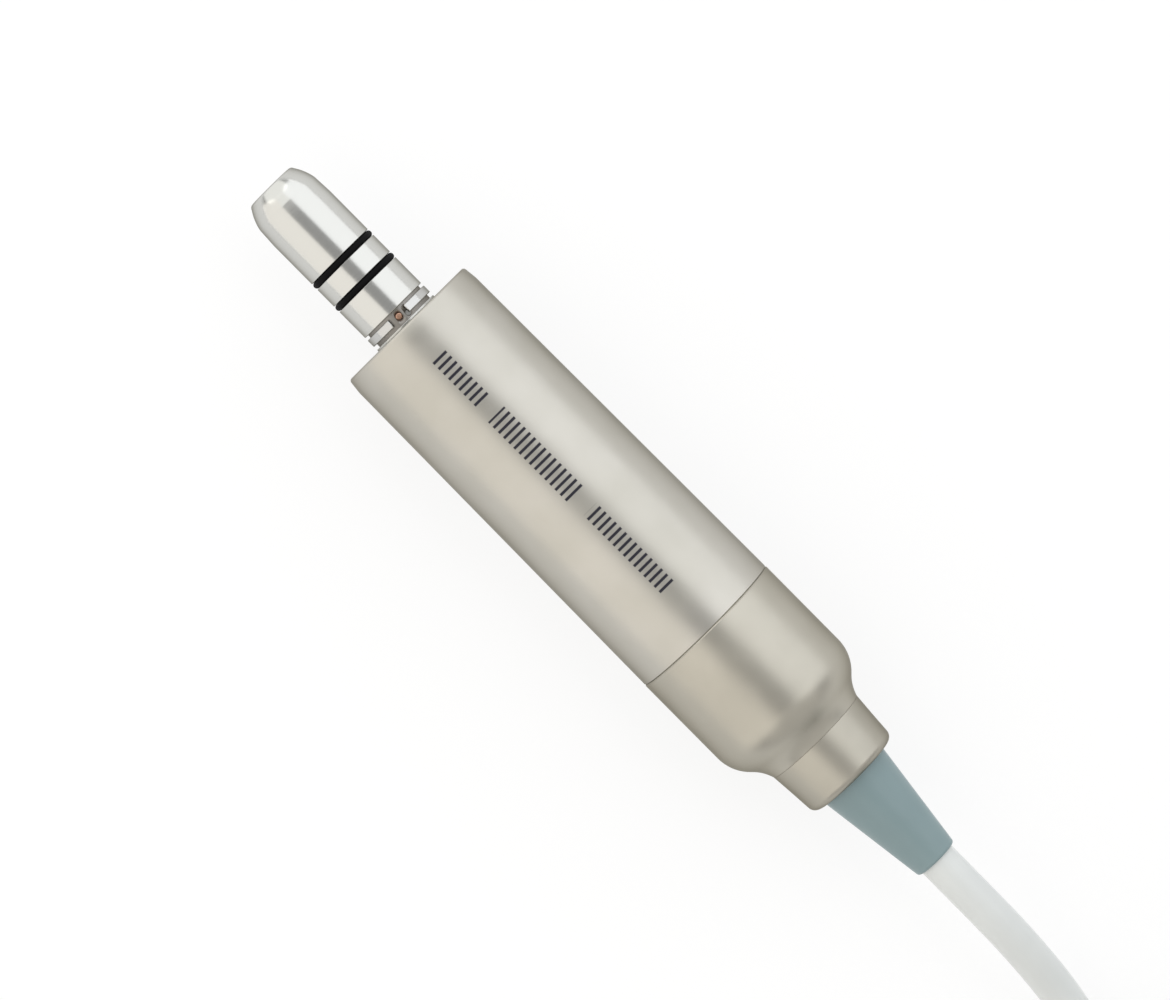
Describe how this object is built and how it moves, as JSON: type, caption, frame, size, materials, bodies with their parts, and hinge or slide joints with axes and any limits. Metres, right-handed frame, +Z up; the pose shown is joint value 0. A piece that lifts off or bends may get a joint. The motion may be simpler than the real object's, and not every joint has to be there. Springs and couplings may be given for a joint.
{
  "type": "surgical micromotor",
  "caption": "Slim round handpiece motor with a ring-grooved metal nose, a satin barrel, a tapered bend relief and its cord put away in a tied hank ending in a round plug.",
  "frame": {"origin": "centre of the barrel's flat front face, where a handpiece seats", "axes": "+X along the motor's axis to the tip of the nose, +Z up from the table that the motor lies on, +Y across it, so the cord leaves toward -X"},
  "size_m": [0.2917, 0.0506, 0.0294],
  "materials": {
    "titanium": "satin, bead blasted",
    "rear_metal": "satin, bead blasted",
    "polished_steel": "fine turned and polished",
    "steel": "ground",
    "bright_steel": "polished",
    "black_rubber": "matte",
    "seal_rubber": "matte",
    "boot_silicone": "soft satin",
    "cord_silicone": "soft satin",
    "brass": "turned",
    "bell_aluminium": "turned",
    "insulation": "matte",
    "laminations": "oxidised sheet edges",
    "copper_winding": "enamelled and potted",
    "magnet": "sintered",
    "rotor_sleeve": "wound carbon",
    "cage_plastic": "matte",
    "board": "solder mask",
    "sensor_plastic": "matte",
    "wire_plastic": "satin",
    "plug_metal": "satin plated",
    "contact_gold": "plated"
  },
  "bodies": {
    "motor": {"barrel": "titanium", "nose_spigot": "polished_steel", "front_o_ring": "black_rubber", "rear_o_ring": "black_rubber", "barrel_seal": "seal_rubber", "snap_ring": "bright_steel", "index_pin": "brass", "shaft_seal": "seal_rubber", "front_bell": "bell_aluminium", "front_bearing_outer": "bright_steel", "front_insulator": "insulation", "stator_laminations": "laminations", "rear_insulator": "insulation", "stator_winding": "copper_winding", "rear_bell": "bell_aluminium", "rear_bearing_outer": "bright_steel", "preload_spring": "steel", "retaining_ring": "steel", "sensor_board": "board", "hall_sensors": "sensor_plastic", "lead_wires": "wire_plastic", "cable_clamp": "bell_aluminium", "inlet_cable": "cord_silicone", "rear_housing": "rear_metal", "cord_collar": "rear_metal", "bend_relief": "boot_silicone", "cord_lead": "cord_silicone", "cord_hank": "cord_silicone", "cord_tail": "cord_silicone", "plug_relief": "boot_silicone", "plug_shell": "plug_metal", "plug_grip": "plug_metal", "plug_insert": "sensor_plastic", "plug_contacts": "contact_gold"},
    "rotor": {"rotor_shaft": "steel", "rotor_magnet": "magnet", "magnet_sleeve": "rotor_sleeve", "front_balance_ring": "brass", "rear_balance_ring": "brass", "sensor_magnet": "magnet", "front_bearing_inner": "bright_steel", "rear_bearing_inner": "bright_steel", "dog_clip": "steel", "drive_spring": "bright_steel"},
    "front_cage": {"front_bearing_cage": "cage_plastic", "front_bearing_balls": "bright_steel"},
    "rear_cage": {"rear_bearing_cage": "cage_plastic", "rear_bearing_balls": "bright_steel"},
    "dog": {"drive_dog": "steel"}
  },
  "joints": [
    {"name": "rotor_spin", "type": "hinge", "parent": "motor", "child": "rotor", "pos_m": [-0.03, 0, 0], "axis": [1, 0, 0], "continuous": true},
    {"name": "front_cage_spin", "type": "hinge", "parent": "motor", "child": "front_cage", "pos_m": [-0.0071, 0, 0], "axis": [1, 0, 0], "continuous": true},
    {"name": "rear_cage_spin", "type": "hinge", "parent": "motor", "child": "rear_cage", "pos_m": [-0.0503, 0, 0], "axis": [1, 0, 0], "continuous": true},
    {"name": "dog_slide", "type": "slide", "parent": "rotor", "child": "dog", "axis": [1, 0, 0], "range_m": [-0.0015, 0], "stiffness_N_per_m": 200, "springref_m": 0.002, "deforming": ["drive_spring"]}
  ],
  "couplings": [
    {"joint": "front_cage_spin", "follows": "rotor_spin", "ratio": 0.40075},
    {"joint": "rear_cage_spin", "follows": "rotor_spin", "ratio": 0.40075}
  ]
}
